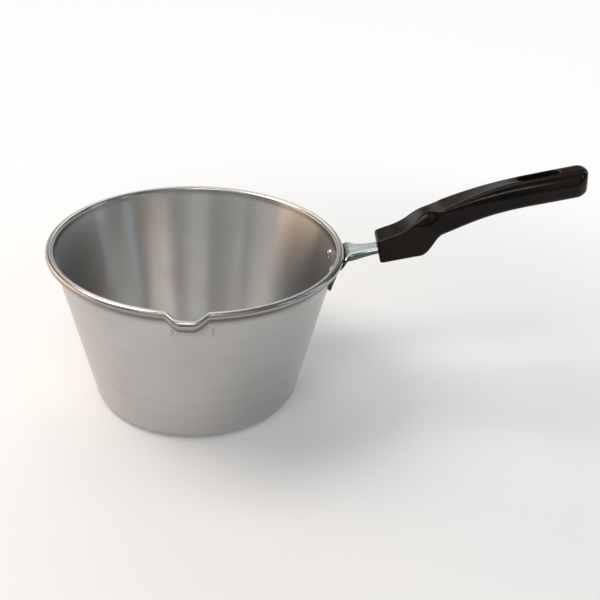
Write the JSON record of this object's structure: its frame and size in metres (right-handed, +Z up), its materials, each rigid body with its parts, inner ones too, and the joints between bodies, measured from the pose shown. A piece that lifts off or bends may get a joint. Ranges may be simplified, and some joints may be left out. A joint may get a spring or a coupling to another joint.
{
  "type": "pouring saucepan for melting wax",
  "caption": "Conical spun aluminium melting pan with a rolled rim, a pressed pouring lip and a raised moulded handle on a riveted steel bracket.",
  "frame": {"origin": "centre of the underside of the pan's base, on the surface that the pan stands on", "axes": "+X from the pan towards the handle, -Y towards the side with the pouring lip, +Z up out of the pan's mouth"},
  "size_m": [0.3214, 0.185, 0.1608],
  "materials": {
    "spun_aluminium": "satin, spun",
    "plated_steel": "bright plated pressing",
    "rivet_aluminium": "bright, headed",
    "phenolic": "moulded, polished black-brown",
    "zinc_steel": "zinc plated"
  },
  "bodies": {
    "root": {"pan_body": "spun_aluminium", "handle_bracket": "plated_steel", "bracket_rivets": "rivet_aluminium", "handle_grip": "phenolic", "handle_screw": "zinc_steel", "screw_washer": "zinc_steel"}
  },
  "joints": []
}
